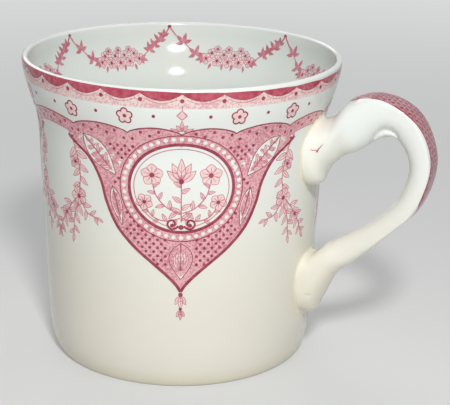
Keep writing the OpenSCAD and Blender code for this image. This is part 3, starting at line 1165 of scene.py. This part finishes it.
def all_prints(glaze):
    """Draws the whole print and makes a piece of each ink in each group."""
    rim_border()
    arcade()
    for group, motif in (("shield", shield()), ("window", window_spray()), ("garland", garland())):
        for angle in SHIELDS:
            print_on(group, motif, round_wall(angle, WALL_MEAN_R))
    inside_swags()
    handle_strip()
    root_fleck()
    rim_fade = (RIM_STRIP_Z + RIM_FADE, RIM_STRIP_Z)
    inks = {
        "ground": stippled_ink("stippled_pink_print", "#E0ABB0", "#CC8591"),
        # The handle's strip is denser stipple, and its two colours are also darkened as painted shade of
        # the handle's back
        "strip": stippled_ink("dense_stipple_print_with_painted_shade", "#BC848B", "#9A5662"),
        "wash": stippled_ink("pale_stipple_print", "#E8D2CC", "#DBAAAD", rim_fade),
        "reserve": glaze,
        "pale": printed_ink("pale_pink_print", "#E7C2C3", "#ECD5D0"),
        "mid": printed_ink("rose_print", "#BC6878", "#CF8C97"),
        "red": printed_ink("red_band_print", "#A4354A", "#C05768"),
        "line": printed_ink("dark_red_line_print", "#8C2B40", "#A34659"),
    }
    for (group, ink), patches in printed.items():
        surface = SURFACES.get(group, on_outside)
        film(f"print_{group}_{ink}", surface, patches, FILM_LIFT[ink], inks[ink])


# Stage, light and camera
FLOOR_SIZE = 4000
FLOOR_DROP = 0.05
# Distances over which the floor fades to the background's tone, and the least share of that
FLOOR_FADE = (100, 500)
FLOOR_LEAST = 0.35
BACKGROUND = "#DADBDB"
WORLD_LIGHT = "#525457"
AIM = Vector((0, 0, 30))
AZIMUTH = 23.5
ELEVATION = 18.202
DISTANCE = 295.6
FOCAL_PX = 1423.85
FRAME_W = 450
SENSOR_W = 36
CLIP = (0.01, 20)
YAW = 1.7627
PITCH = -0.0259
ROLL = 0.5449
# Each lamp: azimuth, elevation, distance, diameter and watts
LAMPS = {
    "key": (AZIMUTH + 6, 39, 430, 60, 1.52),
    "fill": (AZIMUTH - 60, 30, 800, 500, 0.1),
    "top": (AZIMUTH + 160, 66, 800, 500, 1),
    "back": (AZIMUTH + 200, 32, 900, 600, 1.6),
}


def seen_directly(tree):
    """1 for rays to the eye, also by gloss or glass, and 0 for rays that light."""
    ray = add(tree, "LightPath").outputs
    seen = ray["Is Camera Ray"]
    for kind in ("Is Glossy Ray", "Is Transmission Ray"):
        seen = add(tree, "Math", {0: seen, 1: ray[kind]}, operation="MAXIMUM")
    return seen


def floor():
    """Large pale matt floor that keeps the cup's shadow and fades to the background's even tone."""
    material, tree, place = new_material("pale_matt_floor")
    cloud = add(tree, "TexNoise", {"Vector": place, "Scale": per_mm(180)})
    tint = add(tree, "Mix", {SHARE: cloud, FIRST: linear("#E4E4E2"), SECOND: linear("#DFDFDE")}, **COLOURS)
    shader = add(tree, "BsdfPrincipled", {"Base Color": tint, "Roughness": 0.9, "Specular IOR Level": 0.2})
    even = add(tree, "Emission", {"Color": linear(BACKGROUND)})
    away = add(tree, "VectorMath", {0: place}, operation="LENGTH")
    start, end = (distance * MM for distance in FLOOR_FADE)
    fade = {"Value": away, "From Min": start, "From Max": end, "To Min": FLOOR_LEAST}
    share = add(tree, "MapRange", fade, **EASED)
    share = add(tree, "Math", {0: seen_directly(tree), 1: share}, operation="MULTIPLY")
    add(tree, "OutputMaterial", {"Surface": add(tree, "MixShader", {0: share, 1: shader, 2: even})})
    mesh = bpy.data.meshes.new("floor")
    half, z = FLOOR_SIZE / 2 * MM, -FLOOR_DROP * MM
    corners = [(-half, -half, z), (half, -half, z), (half, half, z), (-half, half, z)]
    mesh.from_pydata(corners, [], [(0, 1, 2, 3)])
    mesh.materials.append(material)
    new_object("floor", mesh)


def away_from_cup(azimuth, elevation):
    """Way from the cup. Azimuth 0 is in front, at -Y, and 90 on the handle's side."""
    a, e = radians(azimuth), radians(elevation)
    return Vector((sin(a) * cos(e), -cos(a) * cos(e), sin(e)))


def lighting():
    """Round soft boxes that face the cup, with the key beside the camera, and a pale world."""
    for name, (azimuth, elevation, distance, size, watts) in LAMPS.items():
        way = away_from_cup(azimuth, elevation)
        data = bpy.data.lights.new(name, "AREA")
        data.shape = "DISK"
        data.size = size * MM
        data.energy = watts
        made = new_object(name, data)
        made.location = (AIM + way * distance) * MM
        made.rotation_euler = way.to_track_quat("Z", "Y").to_euler()
    world = bpy.data.worlds.new("studio")
    bpy.context.scene.world = world
    world.use_nodes = True
    tree = world.node_tree
    tree.nodes.clear()
    tones = {SHARE: seen_directly(tree), FIRST: linear(WORLD_LIGHT), SECOND: linear(BACKGROUND)}
    background = add(tree, "Background", {"Color": add(tree, "Mix", tones, **COLOURS), "Strength": 1})
    add(tree, "OutputWorld", {"Surface": background})


def camera():
    """Camera at the photograph's place, which looks a little past the cup."""
    back = away_from_cup(AZIMUTH, ELEVATION)
    right = away_from_cup(AZIMUTH + 90, 0)
    axes = Matrix((right, back.cross(right), back)).transposed()
    for turn, axis in ((-YAW, "Y"), (PITCH, "X"), (ROLL, "Z")):
        axes = axes @ Matrix.Rotation(radians(turn), 3, axis)
    data = bpy.data.cameras.new("camera")
    data.sensor_width = SENSOR_W
    data.lens = FOCAL_PX / FRAME_W * SENSOR_W
    data.clip_start, data.clip_end = CLIP
    made = new_object("camera", data)
    made.matrix_world = Matrix.Translation((AIM + back * DISTANCE) * MM) @ axes.to_4x4()
    bpy.context.scene.camera = made


glaze = glazed_earthenware("ivory_glazed_earthenware", CREAM, *CREAM_FALL)
# Inside, the glaze turns below the lip to a cooler, darker painted shade
inside_shaded_glaze = glazed_earthenware("glaze_with_painted_shade_inside", INSIDE_PAINTED_SHADE, *INSIDE_SHADE_FALL)
cup_body(glaze, bare_biscuit(), inside_shaded_glaze)
handle(glaze)
pooled = pooled_glaze()
for root_name in ROOTS:
    slip_fillet(root_name, pooled)
all_prints(glaze)
floor()
lighting()
camera()
bpy.context.scene.view_settings.view_transform = "Standard"
bpy.context.view_layer.update()
